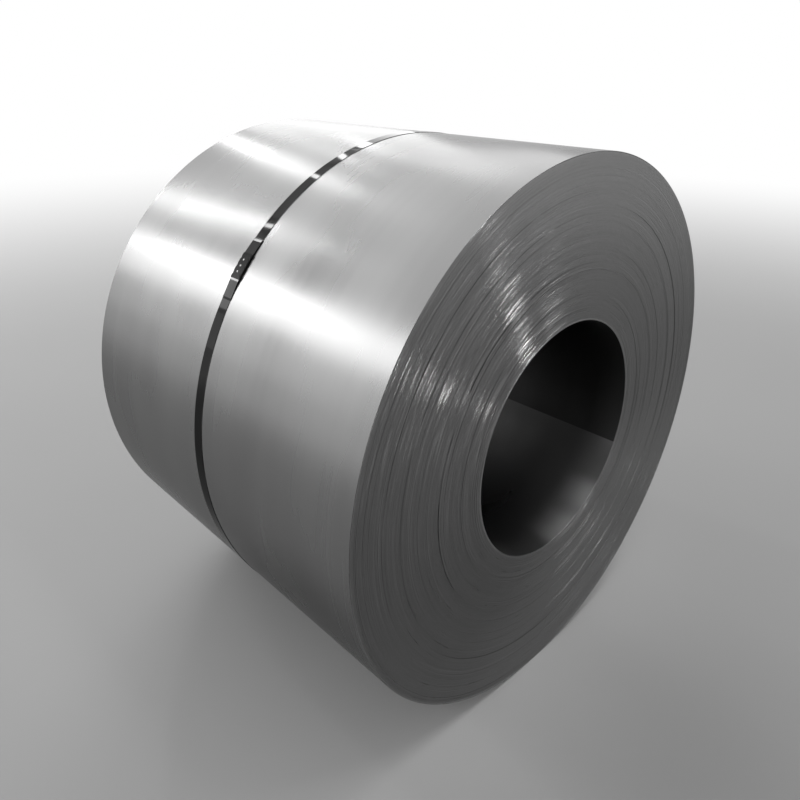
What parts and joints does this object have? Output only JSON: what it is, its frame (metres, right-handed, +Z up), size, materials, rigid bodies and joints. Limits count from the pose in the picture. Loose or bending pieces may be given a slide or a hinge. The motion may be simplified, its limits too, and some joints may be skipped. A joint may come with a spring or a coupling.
{
  "type": "steel coil",
  "caption": "Coil of bright cold-rolled steel strip lying on its round side, with an open eye, wound turns on its ends, a dark steel strap and a crimped seal.",
  "frame": {"origin": "on the floor, under the middle of the coil, where the strap meets the floor", "axes": "+Y along the axis of the eye, from the end that faces the camera to the far end; +Z up"},
  "size_m": [1.3903, 1.071, 1.3917],
  "materials": {
    "steel_strip": "bright cold-rolled strip, satin outside and darker slit edges on the ends",
    "strap_steel": "glossy black-blued steel strap",
    "seal_steel": "black steel seal with bright crimp dimples"
  },
  "bodies": {
    "root": {"coil": "steel_strip", "strap": "strap_steel", "strap_seal": "seal_steel"}
  },
  "joints": []
}
